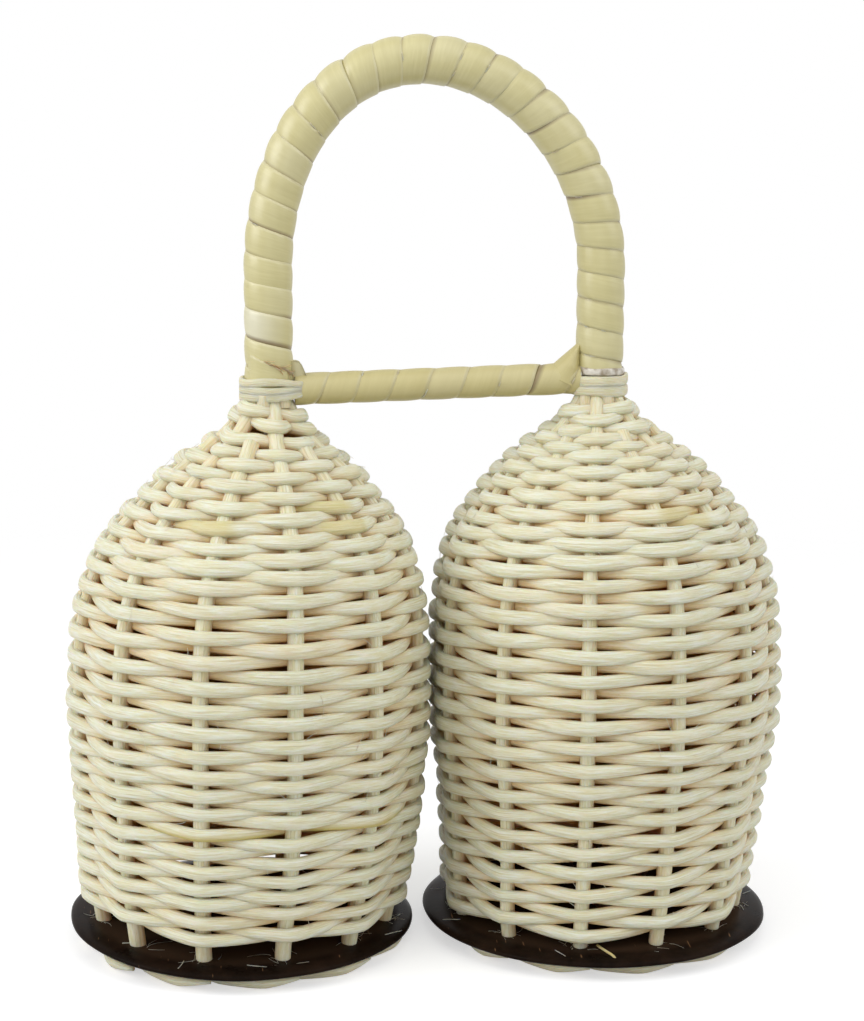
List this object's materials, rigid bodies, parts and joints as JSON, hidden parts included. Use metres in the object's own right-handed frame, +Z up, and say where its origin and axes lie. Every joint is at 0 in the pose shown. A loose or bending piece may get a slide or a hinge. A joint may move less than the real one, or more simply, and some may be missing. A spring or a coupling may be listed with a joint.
{
  "type": "double basket rattle",
  "caption": "Double caxixi: two woven rattan basket rattles with coconut-shell bases and loose seeds, joined side by side under one cane-bound carrying handle with a crossbar.",
  "frame": {"origin": "on the floor under the middle of the pair of baskets", "axes": "+Z up along the handle's height, +X from the left basket to the right basket, +Y to the back, away from the front view"},
  "size_m": [0.1776, 0.0874, 0.2234],
  "materials": {
    "weaver": "matt peeled rattan core with fine lengthwise grain",
    "stake": "matt peeled rattan core with fine lengthwise grain",
    "binding": "matt split reed",
    "wrap": "satin cane skin strip",
    "cane": "bare rattan cane",
    "coconut": "polished dark coconut shell with pale flecks",
    "seed": "smooth dry seed coat"
  },
  "bodies": {
    "basketry": {"left_woven_wall": "weaver", "left_base_disc": "coconut", "left_collar": "binding", "left_stake_01": "stake", "left_stake_02": "stake", "left_stake_03": "stake", "left_stake_04": "stake", "left_stake_05": "stake", "left_stake_06": "stake", "left_stake_07": "stake", "left_stake_08": "stake", "left_stake_09": "stake", "left_stake_10": "stake", "left_stake_11": "stake", "left_stake_12": "stake", "right_woven_wall": "weaver", "right_base_disc": "coconut", "right_collar": "binding", "right_stake_01": "stake", "right_stake_02": "stake", "right_stake_03": "stake", "right_stake_04": "stake", "right_stake_05": "stake", "right_stake_06": "stake", "right_stake_07": "stake", "right_stake_08": "stake", "right_stake_09": "stake", "right_stake_10": "stake", "right_stake_11": "stake", "right_stake_12": "stake", "handle_core": "cane", "handle_wrap": "wrap", "crossbar_core": "cane", "crossbar_wrap": "wrap"},
    "left_seed_1": {"left_seed_1": "seed"},
    "left_seed_2": {"left_seed_2": "seed"},
    "left_seed_3": {"left_seed_3": "seed"},
    "left_seed_4": {"left_seed_4": "seed"},
    "left_seed_5": {"left_seed_5": "seed"},
    "left_seed_6": {"left_seed_6": "seed"},
    "left_seed_7": {"left_seed_7": "seed"},
    "right_seed_1": {"right_seed_1": "seed"},
    "right_seed_2": {"right_seed_2": "seed"},
    "right_seed_3": {"right_seed_3": "seed"},
    "right_seed_4": {"right_seed_4": "seed"},
    "right_seed_5": {"right_seed_5": "seed"},
    "right_seed_6": {"right_seed_6": "seed"},
    "right_seed_7": {"right_seed_7": "seed"}
  },
  "joints": [
    {"name": "left_seed_1_toss", "type": "slide", "parent": "basketry", "child": "left_seed_1", "axis": [0, 0, 1], "range_m": [0, 0.1]},
    {"name": "left_seed_2_toss", "type": "slide", "parent": "basketry", "child": "left_seed_2", "axis": [0, 0, 1], "range_m": [0, 0.09]},
    {"name": "left_seed_3_toss", "type": "slide", "parent": "basketry", "child": "left_seed_3", "axis": [0, 0, 1], "range_m": [0, 0.09]},
    {"name": "left_seed_4_toss", "type": "slide", "parent": "basketry", "child": "left_seed_4", "axis": [0, 0, 1], "range_m": [0, 0.09]},
    {"name": "left_seed_5_toss", "type": "slide", "parent": "basketry", "child": "left_seed_5", "axis": [0, 0, 1], "range_m": [0, 0.09]},
    {"name": "left_seed_6_toss", "type": "slide", "parent": "basketry", "child": "left_seed_6", "axis": [0, 0, 1], "range_m": [0, 0.09]},
    {"name": "left_seed_7_toss", "type": "slide", "parent": "basketry", "child": "left_seed_7", "axis": [0, 0, 1], "range_m": [0, 0.09]},
    {"name": "right_seed_1_toss", "type": "slide", "parent": "basketry", "child": "right_seed_1", "axis": [0, 0, 1], "range_m": [0, 0.1]},
    {"name": "right_seed_2_toss", "type": "slide", "parent": "basketry", "child": "right_seed_2", "axis": [0, 0, 1], "range_m": [0, 0.09]},
    {"name": "right_seed_3_toss", "type": "slide", "parent": "basketry", "child": "right_seed_3", "axis": [0, 0, 1], "range_m": [0, 0.09]},
    {"name": "right_seed_4_toss", "type": "slide", "parent": "basketry", "child": "right_seed_4", "axis": [0, 0, 1], "range_m": [0, 0.09]},
    {"name": "right_seed_5_toss", "type": "slide", "parent": "basketry", "child": "right_seed_5", "axis": [0, 0, 1], "range_m": [0, 0.09]},
    {"name": "right_seed_6_toss", "type": "slide", "parent": "basketry", "child": "right_seed_6", "axis": [0, 0, 1], "range_m": [0, 0.09]},
    {"name": "right_seed_7_toss", "type": "slide", "parent": "basketry", "child": "right_seed_7", "axis": [0, 0, 1], "range_m": [0, 0.09]}
  ]
}
